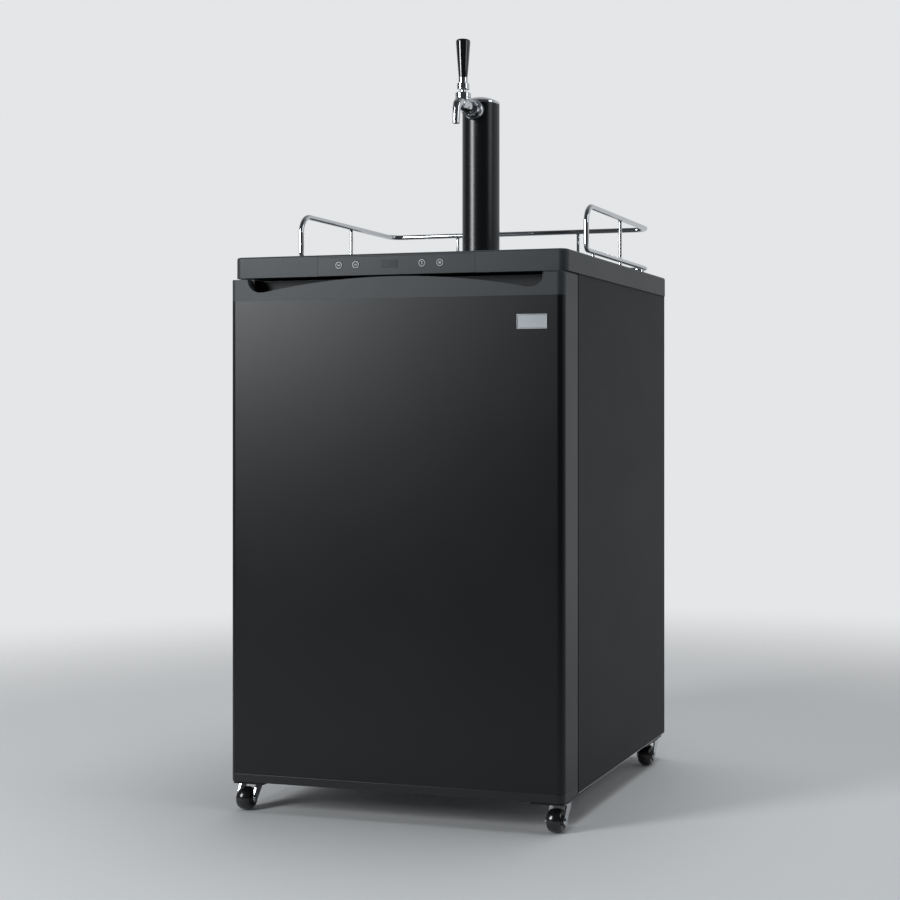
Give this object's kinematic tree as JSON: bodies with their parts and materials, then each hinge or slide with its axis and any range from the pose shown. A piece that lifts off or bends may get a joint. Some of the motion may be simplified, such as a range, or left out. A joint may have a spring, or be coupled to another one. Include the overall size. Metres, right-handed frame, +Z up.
{
  "type": "kegerator",
  "caption": "Free-standing beer dispenser: cooled keg cabinet on swivel casters with a side-hinged door, a tap tower, a guard rail and a drip tray on its top.",
  "frame": {"origin": "on the floor under the middle of the bounding box", "axes": "+Z up, the door and tap face -Y, +X to the right of someone facing the door"},
  "size_m": [0.6, 0.6352, 1.365],
  "materials": {
    "case_paint": "satin",
    "dark_sheet": "matte",
    "zinc_sheet": "satin",
    "insulation": "matte",
    "liner_plastic": "satin",
    "plate_steel": "satin",
    "dark_plastic": "satin",
    "evaporator_aluminium": "satin",
    "compressor_paint": "satin",
    "mount_rubber": "matte",
    "tray_plastic": "satin",
    "condenser_paint": "satin",
    "screw_zinc": "satin",
    "chrome": "polished",
    "plate_zinc": "satin",
    "wheel_plastic": "gloss",
    "door_paint": "satin",
    "charcoal_plastic": "satin",
    "base_trim_plastic": "satin",
    "gasket_rubber": "matte",
    "badge_silver": "satin",
    "panel_plastic": "satin",
    "window_plastic": "gloss",
    "button_plastic": "satin",
    "tower_paint": "satin",
    "handle_plastic": "gloss",
    "hose_vinyl": "gloss",
    "valve_brass": "satin",
    "grid_steel": "satin"
  },
  "bodies": {
    "cabinet": {"side_panels": "case_paint", "front_frame": "dark_sheet", "back_panel": "dark_sheet", "bay_cover": "dark_sheet", "base_pan": "zinc_sheet", "bay_shroud": "zinc_sheet", "cabinet_foam": "insulation", "inner_liner": "liner_plastic", "keg_floor_plate": "plate_steel", "pass_through_sleeves": "dark_plastic", "evaporator": "evaporator_aluminium", "compressor": "compressor_paint", "compressor_mounts": "mount_rubber", "evaporating_tray": "tray_plastic", "condenser": "condenser_paint", "base_bolts": "screw_zinc", "pan_head_screws": "screw_zinc", "caster_plates": "plate_zinc", "caster_pivots": "chrome", "hinge_hardware": "plate_zinc", "worktop": "charcoal_plastic", "top_insulation": "insulation", "control_panel": "panel_plastic", "display_window": "window_plastic", "tower_column": "tower_paint", "tower_flange": "tower_paint", "tower_cap": "chrome", "shank": "chrome", "beauty_ring": "chrome", "coupling_nut": "chrome", "beer_line": "hose_vinyl", "line_fittings": "chrome", "faucet_body": "chrome", "faucet_bonnet": "chrome", "rail_hoop": "chrome", "rail_lower": "chrome", "drip_tray": "dark_plastic", "drip_grid": "grid_steel"},
    "door": {"door_skin": "door_paint", "door_foam": "insulation", "door_liner": "liner_plastic", "door_gasket": "gasket_rubber", "door_handle_trim": "charcoal_plastic", "door_base_trim": "base_trim_plastic", "blank_badge": "badge_silver"},
    "tap": {"tap_lever": "chrome", "tap_handle": "handle_plastic"},
    "valve": {"valve_plunger": "valve_brass"},
    "fork_front_left": {"caster_fork_front_left": "chrome"},
    "wheel_front_left": {"caster_wheel_front_left": "wheel_plastic"},
    "fork_front_right": {"caster_fork_front_right": "chrome"},
    "wheel_front_right": {"caster_wheel_front_right": "wheel_plastic"},
    "fork_rear_left": {"caster_fork_rear_left": "chrome"},
    "wheel_rear_left": {"caster_wheel_rear_left": "wheel_plastic"},
    "fork_rear_right": {"caster_fork_rear_right": "chrome"},
    "wheel_rear_right": {"caster_wheel_rear_right": "wheel_plastic"},
    "down_button": {"button_down": "button_plastic"},
    "up_button": {"button_up": "button_plastic"},
    "unit_button": {"button_unit": "button_plastic"},
    "chill_button": {"button_chill": "button_plastic"}
  },
  "joints": [
    {"name": "door_hinge", "type": "hinge", "parent": "cabinet", "child": "door", "pos_m": [0.278, -0.2944, 0.45], "axis": [0, 0, 1], "range_deg": [0, 120]},
    {"name": "tap_pivot", "type": "hinge", "parent": "cabinet", "child": "tap", "pos_m": [0, -0.0044, 1.259], "axis": [1, 0, 0], "range_deg": [0, 30]},
    {"name": "valve_slide", "type": "slide", "parent": "cabinet", "child": "valve", "axis": [0, 1, 0], "range_m": [0, 0.0075]},
    {"name": "swivel_front_left", "type": "hinge", "parent": "cabinet", "child": "fork_front_left", "pos_m": [-0.28, -0.2764, 0.045], "axis": [0, 0, 1], "continuous": true},
    {"name": "roll_front_left", "type": "hinge", "parent": "fork_front_left", "child": "wheel_front_left", "pos_m": [-0.28, -0.2944, 0.02], "axis": [1, 0, 0], "continuous": true},
    {"name": "swivel_front_right", "type": "hinge", "parent": "cabinet", "child": "fork_front_right", "pos_m": [0.28, -0.2764, 0.045], "axis": [0, 0, 1], "continuous": true},
    {"name": "roll_front_right", "type": "hinge", "parent": "fork_front_right", "child": "wheel_front_right", "pos_m": [0.28, -0.2944, 0.02], "axis": [1, 0, 0], "continuous": true},
    {"name": "swivel_rear_left", "type": "hinge", "parent": "cabinet", "child": "fork_rear_left", "pos_m": [-0.28, 0.2586, 0.045], "axis": [0, 0, 1], "continuous": true},
    {"name": "roll_rear_left", "type": "hinge", "parent": "fork_rear_left", "child": "wheel_rear_left", "pos_m": [-0.28, 0.2406, 0.02], "axis": [1, 0, 0], "continuous": true},
    {"name": "swivel_rear_right", "type": "hinge", "parent": "cabinet", "child": "fork_rear_right", "pos_m": [0.28, 0.2586, 0.045], "axis": [0, 0, 1], "continuous": true},
    {"name": "roll_rear_right", "type": "hinge", "parent": "fork_rear_right", "child": "wheel_rear_right", "pos_m": [0.28, 0.2406, 0.02], "axis": [1, 0, 0], "continuous": true},
    {"name": "press_down", "type": "slide", "parent": "cabinet", "child": "down_button", "axis": [0, 1, 0], "range_m": [0, 0.001], "stiffness_N_per_m": 500},
    {"name": "press_up", "type": "slide", "parent": "cabinet", "child": "up_button", "axis": [0, 1, 0], "range_m": [0, 0.001], "stiffness_N_per_m": 500},
    {"name": "press_unit", "type": "slide", "parent": "cabinet", "child": "unit_button", "axis": [0, 1, 0], "range_m": [0, 0.001], "stiffness_N_per_m": 500},
    {"name": "press_chill", "type": "slide", "parent": "cabinet", "child": "chill_button", "axis": [0, 1, 0], "range_m": [0, 0.001], "stiffness_N_per_m": 500}
  ],
  "couplings": [
    {"joint": "valve_slide", "follows": "tap_pivot", "m_per_rad": 0.014}
  ]
}
